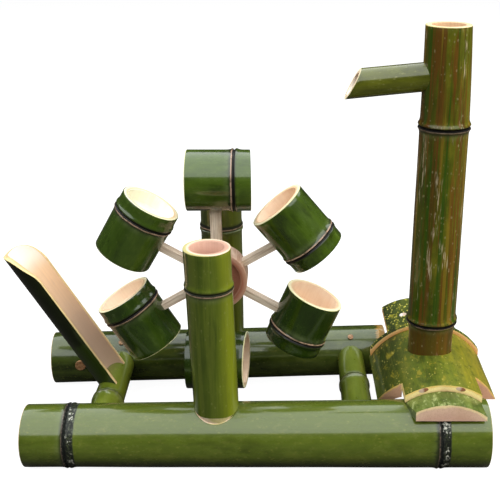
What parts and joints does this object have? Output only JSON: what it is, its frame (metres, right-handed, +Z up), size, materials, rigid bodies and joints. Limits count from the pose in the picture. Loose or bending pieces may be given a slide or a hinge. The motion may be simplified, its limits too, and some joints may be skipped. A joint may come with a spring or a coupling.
{
  "type": "bamboo waterwheel fountain",
  "caption": "Garden water feature of green bamboo culms: rails, standing column with spout, cup wheel on an axle between posts, leaning scoop and lapped saddle",
  "frame": {"origin": "Centre of the column's foot on the floor, at the mouth of the hose entry", "axes": "+X along the rails from the scoop to the column, +Y from the front rail to the rear rail, +Z up"},
  "size_m": [0.4844, 0.2388, 0.401],
  "materials": {
    "rail_culm": "wet green bamboo skin, glossy",
    "crossbar_culm": "bright yellow-green bamboo skin, glossy",
    "post_culm": "olive green bamboo skin, glossy",
    "cup_culm": "dark green bamboo skin, glossy",
    "hub_culm": "peach end grain and red-brown septum, matt",
    "column_culm": "olive bamboo skin with brown streaks, glossy",
    "saddle_culm": "olive bamboo skin with yellow flecks, raw cut edges",
    "trough_culm": "dark green bamboo skin outside, pale peach inside",
    "split_bamboo": "raw tan split bamboo, matt",
    "brown_plug": "brown end grain, matt"
  },
  "bodies": {
    "frame": {"front_rail": "rail_culm", "rear_rail": "rail_culm", "left_crossbar": "crossbar_culm", "right_crossbar": "crossbar_culm", "crossbar_pegs": "split_bamboo", "rear_rail_plug": "brown_plug", "front_post": "post_culm", "rear_post": "post_culm", "post_dowels": "split_bamboo", "column": "column_culm", "spout": "post_culm", "saddle_shell": "saddle_culm", "saddle_back_shell": "saddle_culm", "saddle_front_block": "saddle_culm", "saddle_pegs": "split_bamboo", "trough": "trough_culm", "trough_pin": "split_bamboo"},
    "wheel": {"axle": "split_bamboo", "hub": "hub_culm", "front_spacer": "split_bamboo", "rear_spacer": "split_bamboo", "spoke_1": "split_bamboo", "spoke_2": "split_bamboo", "spoke_3": "split_bamboo", "spoke_4": "split_bamboo", "spoke_5": "split_bamboo", "spoke_6": "split_bamboo", "cup_1": "cup_culm", "cup_2": "cup_culm", "cup_3": "cup_culm", "cup_4": "cup_culm", "cup_5": "cup_culm", "cup_6": "cup_culm"}
  },
  "joints": [
    {"name": "wheel_spin", "type": "hinge", "parent": "frame", "child": "wheel", "pos_m": [-0.213, 0.004, 0.1575], "axis": [0, 1, 0], "continuous": true}
  ]
}
